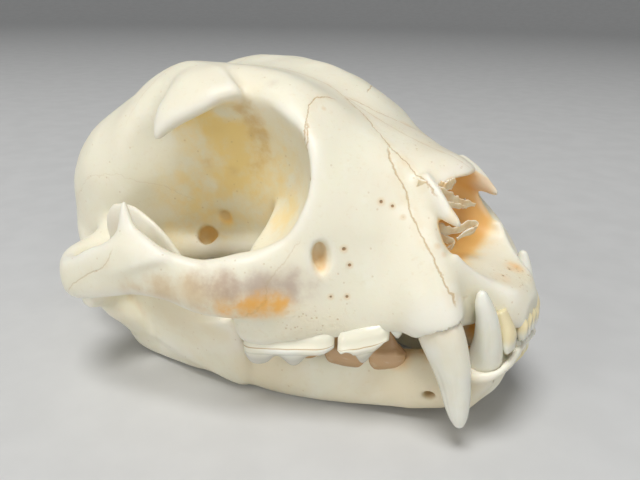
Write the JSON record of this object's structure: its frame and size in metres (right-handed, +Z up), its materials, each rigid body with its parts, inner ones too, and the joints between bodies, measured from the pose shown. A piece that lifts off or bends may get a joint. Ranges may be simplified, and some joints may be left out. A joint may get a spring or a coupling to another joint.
{
  "type": "lynx skull",
  "caption": "Life-size lynx skull with closed jaws, resting on its lower jaw; cranium, jaw halves and canine teeth are separate pieces.",
  "frame": {"origin": "middle of the bounding box in plan, at the level the lower jaw rests on", "axes": "+Z up, snout towards -Y, the animal's left towards +X"},
  "size_m": [0.1006, 0.1428, 0.0788],
  "materials": {
    "bone": "clean dry bone, satin, ivory with warm thin places",
    "enamel": "tooth enamel, smooth and softly glossy"
  },
  "bodies": {
    "root": {"cranium": "bone", "mandible_left": "bone", "mandible_right": "bone", "upper_canine_left": "enamel", "upper_canine_right": "enamel", "lower_canine_left": "enamel", "lower_canine_right": "enamel"}
  },
  "joints": []
}
